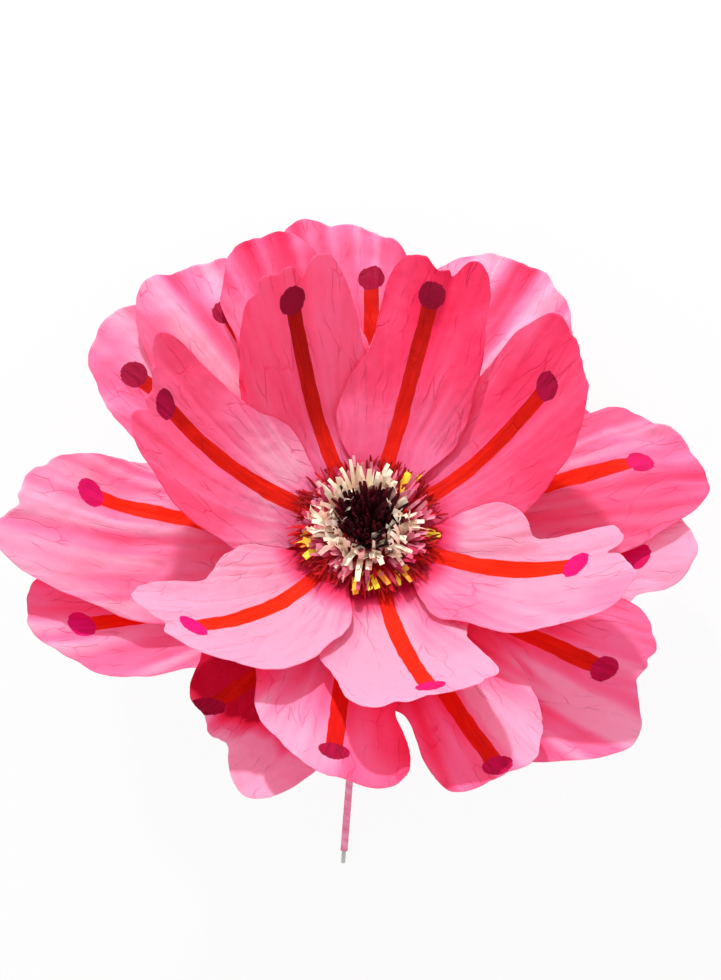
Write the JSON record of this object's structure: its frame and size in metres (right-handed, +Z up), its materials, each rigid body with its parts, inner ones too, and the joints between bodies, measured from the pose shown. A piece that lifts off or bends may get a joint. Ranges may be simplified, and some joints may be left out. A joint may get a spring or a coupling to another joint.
{
  "type": "paper flower",
  "caption": "Giant cut paper flower with cupped petals, a fringed centre and a paper-wrapped stem, lying as it comes to rest.",
  "frame": {"origin": "middle of the bounding box in plan, at the level of the surface that the flower lies on", "axes": "+Z up from that surface, +Y from the cut end of the stem towards the flower head, +X to the right of the flower seen from above"},
  "size_m": [0.6436, 0.6616, 0.3833],
  "materials": {
    "petal_paper": "matte crinkled",
    "covered_wire": "matte",
    "stem_rod": "dull",
    "stem_paper": "matte",
    "rolled_paper": "matte",
    "backing_card": "matte",
    "fringe_maroon": "matte",
    "fringe_cream": "matte",
    "fringe_pink": "matte",
    "fringe_gold": "matte",
    "fringe_red": "matte"
  },
  "bodies": {
    "root": {"backing_card": "backing_card", "fringe_cream": "fringe_cream", "fringe_gold": "fringe_gold", "fringe_maroon": "fringe_maroon", "fringe_pink": "fringe_pink", "fringe_red": "fringe_red", "hub_core": "rolled_paper", "petal_inner_1": "petal_paper", "petal_inner_2": "petal_paper", "petal_inner_3": "petal_paper", "petal_inner_4": "petal_paper", "petal_inner_5": "petal_paper", "petal_inner_6": "petal_paper", "petal_inner_7": "petal_paper", "petal_outer_a": "petal_paper", "petal_outer_b": "petal_paper", "petal_outer_c": "petal_paper", "petal_outer_d": "petal_paper", "petal_outer_e": "petal_paper", "petal_outer_f": "petal_paper", "petal_outer_g": "petal_paper", "petal_outer_h": "petal_paper", "petal_outer_i": "petal_paper", "petal_outer_j": "petal_paper", "petal_outer_k": "petal_paper", "petal_outer_l": "petal_paper", "petal_outer_m": "petal_paper", "petal_outer_n": "petal_paper", "stem_core": "stem_rod", "stem_wrap": "stem_paper", "wire_inner_1": "covered_wire", "wire_inner_2": "covered_wire", "wire_inner_3": "covered_wire", "wire_inner_4": "covered_wire", "wire_inner_5": "covered_wire", "wire_inner_6": "covered_wire", "wire_inner_7": "covered_wire", "wire_outer_a": "covered_wire", "wire_outer_b": "covered_wire", "wire_outer_c": "covered_wire", "wire_outer_d": "covered_wire", "wire_outer_e": "covered_wire", "wire_outer_f": "covered_wire", "wire_outer_g": "covered_wire", "wire_outer_h": "covered_wire", "wire_outer_i": "covered_wire", "wire_outer_j": "covered_wire", "wire_outer_k": "covered_wire", "wire_outer_l": "covered_wire", "wire_outer_m": "covered_wire", "wire_outer_n": "covered_wire"}
  },
  "joints": []
}
